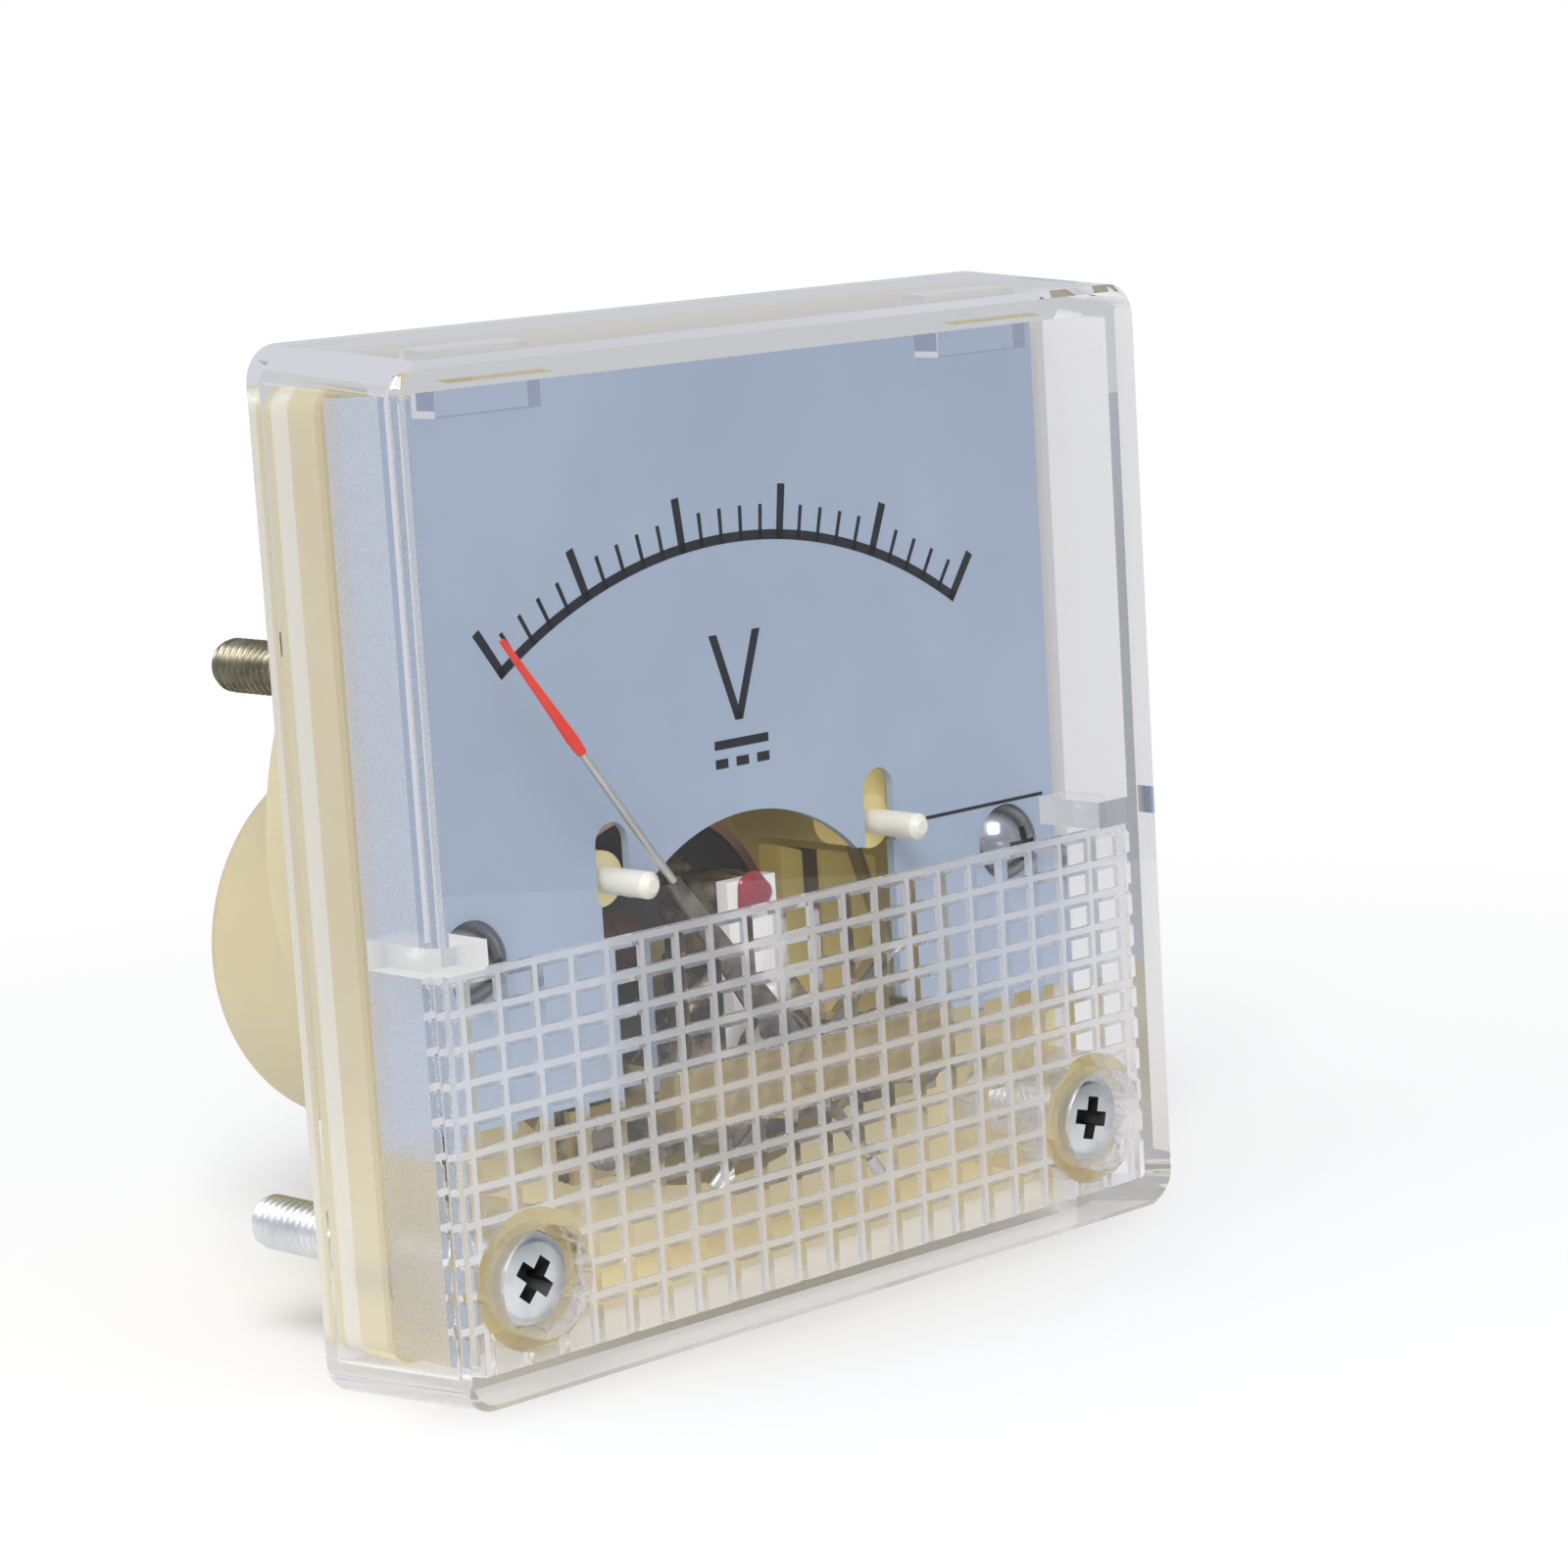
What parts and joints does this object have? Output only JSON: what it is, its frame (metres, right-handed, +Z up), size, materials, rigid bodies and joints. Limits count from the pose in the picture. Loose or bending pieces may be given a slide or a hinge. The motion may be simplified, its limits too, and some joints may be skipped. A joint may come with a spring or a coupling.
{
  "type": "analog panel meter",
  "caption": "Small square moving-coil panel meter with a clear cover, ribbed lower window, blue-grey voltage dial, red-tipped pointer and cream base with a round barrel.",
  "frame": {"origin": "on the axis of the barrel that goes through the panel, on the plane that lies against the panel's front", "axes": "+X to the right seen from the front, +Y from the face through the panel to the back, +Z up"},
  "size_m": [0.044, 0.0338, 0.045],
  "materials": {
    "clear_plastic": "gloss",
    "cream_plastic": "satin",
    "dial_paint": "matte",
    "chrome": "gloss",
    "zinc": "satin",
    "dark_nickel": "satin",
    "brass": "satin",
    "nylon": "satin",
    "copper_plate": "satin",
    "black_iron": "matte",
    "magnet": "satin",
    "cast_zinc": "matte",
    "ruby": "gloss",
    "white_plastic": "satin",
    "red_lacquer": "gloss",
    "spring_bronze": "satin",
    "resistor_coat": "satin",
    "wire_coat": "satin",
    "red_paint": "satin",
    "tube_metal": "satin",
    "foot_metal": "satin",
    "steel": "satin",
    "aluminium": "satin",
    "copper_wire": "satin"
  },
  "bodies": {
    "case": {"front_cover": "clear_plastic", "base_housing": "cream_plastic", "dial_plate": "dial_paint", "dial_screws": "chrome", "mounting_screws": "zinc", "terminal_studs": "dark_nickel", "terminal_washers": "zinc", "terminal_nuts": "dark_nickel", "stop_pegs": "nylon", "yoke_sleeve": "copper_plate", "yoke_block": "black_iron", "core_magnet": "magnet", "core_straps": "brass", "rear_plate": "cast_zinc", "movement_frame": "cast_zinc", "front_bridge": "brass", "frame_screws": "steel", "jewel_screws": "brass", "jewels": "ruby", "zero_lever": "white_plastic", "zero_seal": "red_lacquer", "front_hairspring": "spring_bronze", "rear_hairspring": "spring_bronze", "series_resistor": "resistor_coat", "lead_wires": "wire_coat"},
    "needle": {"pointer_tip": "red_paint", "pointer_tube": "tube_metal", "pointer_foot": "foot_metal", "balance_weights": "tube_metal", "staffs": "steel", "coil_former": "aluminium", "moving_coil": "copper_wire"}
  },
  "joints": [
    {"name": "needle_swing", "type": "hinge", "parent": "case", "child": "needle", "pos_m": [0, 0, -0.0106], "axis": [0, 1, 0], "range_deg": [0, 72.9], "stiffness_Nm_per_rad": 0.000002}
  ]
}
